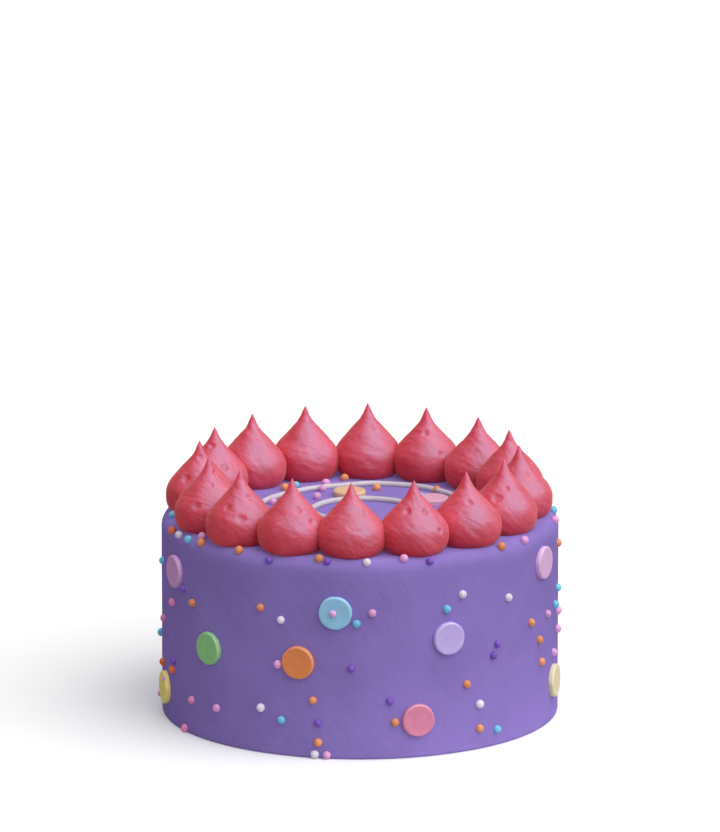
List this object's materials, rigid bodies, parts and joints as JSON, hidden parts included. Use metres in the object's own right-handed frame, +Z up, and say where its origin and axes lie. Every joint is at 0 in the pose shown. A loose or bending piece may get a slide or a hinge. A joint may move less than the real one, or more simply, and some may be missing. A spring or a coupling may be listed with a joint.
{
  "type": "sprinkle cake",
  "caption": "Round iced cake with a smooth wall, a rounded rim, a ring of pointed piped kisses, sugar discs, small sugar pearls and a piped swirl on top.",
  "frame": {"origin": "centre of the flat underside, at the level of the surface that the cake stands on", "axes": "+Z up along the cake's axis, -Y towards the side that the first view shows, +X to the right of that view"},
  "size_m": [0.2038, 0.2062, 0.1393],
  "materials": {
    "icing": "smooth satin violet icing",
    "kiss_icing": "satin coral pink piped icing",
    "sugar_lilac": "dry matt sugar paste, lilac",
    "sugar_green": "dry matt sugar paste, green",
    "sugar_orange": "dry matt sugar paste, orange",
    "sugar_blue": "dry matt sugar paste, light blue",
    "sugar_lavender": "dry matt sugar paste, lavender",
    "sugar_coral": "dry matt sugar paste, coral pink",
    "sugar_pink": "dry matt sugar paste, pink",
    "sugar_yellow": "dry matt sugar paste, pale yellow",
    "sugar_peach": "dry matt sugar paste, peach"
  },
  "bodies": {
    "root": {"cake": "icing", "kiss_01": "kiss_icing", "kiss_02": "kiss_icing", "kiss_03": "kiss_icing", "kiss_04": "kiss_icing", "kiss_05": "kiss_icing", "kiss_06": "kiss_icing", "kiss_07": "kiss_icing", "kiss_08": "kiss_icing", "kiss_09": "kiss_icing", "kiss_10": "kiss_icing", "kiss_11": "kiss_icing", "kiss_12": "kiss_icing", "kiss_13": "kiss_icing", "kiss_14": "kiss_icing", "kiss_15": "kiss_icing", "kiss_16": "kiss_icing", "disc_01": "sugar_lilac", "disc_02": "sugar_green", "disc_03": "sugar_orange", "disc_04": "sugar_blue", "disc_05": "sugar_lavender", "disc_06": "sugar_coral", "disc_07": "sugar_pink", "disc_08": "sugar_yellow", "disc_09": "sugar_yellow", "disc_10": "sugar_peach", "disc_11": "sugar_pink", "disc_12": "sugar_lilac", "disc_13": "sugar_green", "disc_14": "sugar_orange", "disc_15": "sugar_blue", "disc_16": "sugar_lavender", "disc_17": "sugar_coral", "disc_18": "sugar_yellow", "disc_19": "sugar_peach"}
  },
  "joints": []
}
